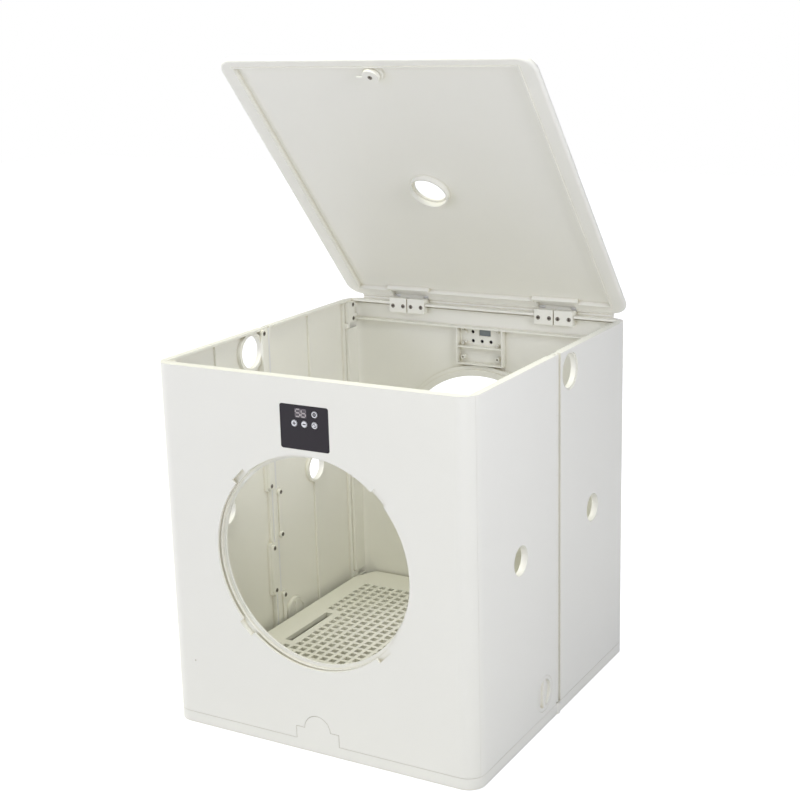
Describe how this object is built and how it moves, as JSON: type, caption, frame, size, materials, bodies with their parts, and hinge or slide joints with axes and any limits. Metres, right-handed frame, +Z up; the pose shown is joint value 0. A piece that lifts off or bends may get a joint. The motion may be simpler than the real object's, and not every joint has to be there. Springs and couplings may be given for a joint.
{
  "type": "hooded litter box",
  "caption": "Foldable square pet hood with a round entry at each end, side ports, a rear-hinged lid, a lift-out slatted floor and a shallow base tray.",
  "frame": {"origin": "centre of the underside, on the plane that the base tray stands on", "axes": "+X to the right of someone facing the front entry, +Y to the rear where the lid is hinged, +Z up"},
  "size_m": [0.4336, 0.4656, 0.8173],
  "materials": {
    "shell_white": "satin white moulded plastic",
    "grate_ivory": "satin off-white moulded plastic",
    "zinc_steel": "zinc plated",
    "label_black": "glossy printed film",
    "board_green": "solder mask",
    "key_white": "printed key"
  },
  "bodies": {
    "base_tray": {"base_tray": "shell_white"},
    "hood": {"front_panel": "shell_white", "rear_panel": "shell_white", "side_left_front": "shell_white", "side_left_rear": "shell_white", "side_right_front": "shell_white", "side_right_rear": "shell_white", "mid_hinge_pin_left": "zinc_steel", "mid_hinge_pin_right": "zinc_steel", "hinge_plates_left": "shell_white", "hinge_plates_right": "shell_white", "hinge_plate_screws": "zinc_steel", "corner_covers_top": "shell_white", "corner_covers_bottom": "shell_white", "corner_cover_screws": "zinc_steel", "corner_pins": "zinc_steel", "lid_hinge_block_left_outer": "shell_white", "lid_hinge_block_left_inner": "shell_white", "lid_hinge_block_right_inner": "shell_white", "lid_hinge_block_right_outer": "shell_white", "lid_hinge_pins": "zinc_steel", "lid_hinge_screws": "zinc_steel", "front_label": "label_black", "rear_label": "label_black", "display_module": "label_black", "control_board": "board_green", "board_screws": "zinc_steel", "tact_switches": "label_black", "board_cover": "shell_white", "cable_cover": "shell_white", "cable_cover_screws": "zinc_steel"},
    "floor_grate": {"floor_grate": "grate_ivory"},
    "lid": {"lid": "shell_white"},
    "lid_catch": {"lid_catch": "shell_white", "lid_catch_knob": "shell_white", "lid_catch_screw": "zinc_steel"},
    "port_cap_left": {"port_cap_left": "shell_white"},
    "port_cap_right": {"port_cap_right": "shell_white"},
    "button_power": {"button_power": "key_white"},
    "button_plus": {"button_plus": "key_white"},
    "button_minus": {"button_minus": "key_white"},
    "button_timer": {"button_timer": "key_white"}
  },
  "joints": [
    {"name": "hood_lift", "type": "slide", "parent": "base_tray", "child": "hood", "axis": [0, 0, 1], "range_m": [0, 0.12]},
    {"name": "grate_lift", "type": "slide", "parent": "base_tray", "child": "floor_grate", "axis": [0, 0, 1], "range_m": [0, 0.045]},
    {"name": "lid_hinge", "type": "hinge", "parent": "hood", "child": "lid", "pos_m": [0, 0.2316, 0.467], "axis": [-1, 0, 0], "range_deg": [-48.8, 56]},
    {"name": "catch_turn", "type": "hinge", "parent": "lid", "child": "lid_catch", "pos_m": [0, -0.05274, 0.79635], "axis": [0, 0.7524, 0.6587], "range_deg": [0, 90]},
    {"name": "cap_left_turn", "type": "hinge", "parent": "hood", "child": "port_cap_left", "pos_m": [-0.21, 0.042, 0.0444], "axis": [-1, 0, 0], "range_deg": [0, 90]},
    {"name": "cap_right_turn", "type": "hinge", "parent": "hood", "child": "port_cap_right", "pos_m": [0.21, -0.042, 0.0444], "axis": [1, 0, 0], "range_deg": [0, 90]},
    {"name": "button_power_press", "type": "slide", "parent": "hood", "child": "button_power", "axis": [0, 1, 0], "range_m": [0, 0.0004]},
    {"name": "button_plus_press", "type": "slide", "parent": "hood", "child": "button_plus", "axis": [0, 1, 0], "range_m": [0, 0.0004]},
    {"name": "button_minus_press", "type": "slide", "parent": "hood", "child": "button_minus", "axis": [0, 1, 0], "range_m": [0, 0.0004]},
    {"name": "button_timer_press", "type": "slide", "parent": "hood", "child": "button_timer", "axis": [0, 1, 0], "range_m": [0, 0.0004]}
  ]
}
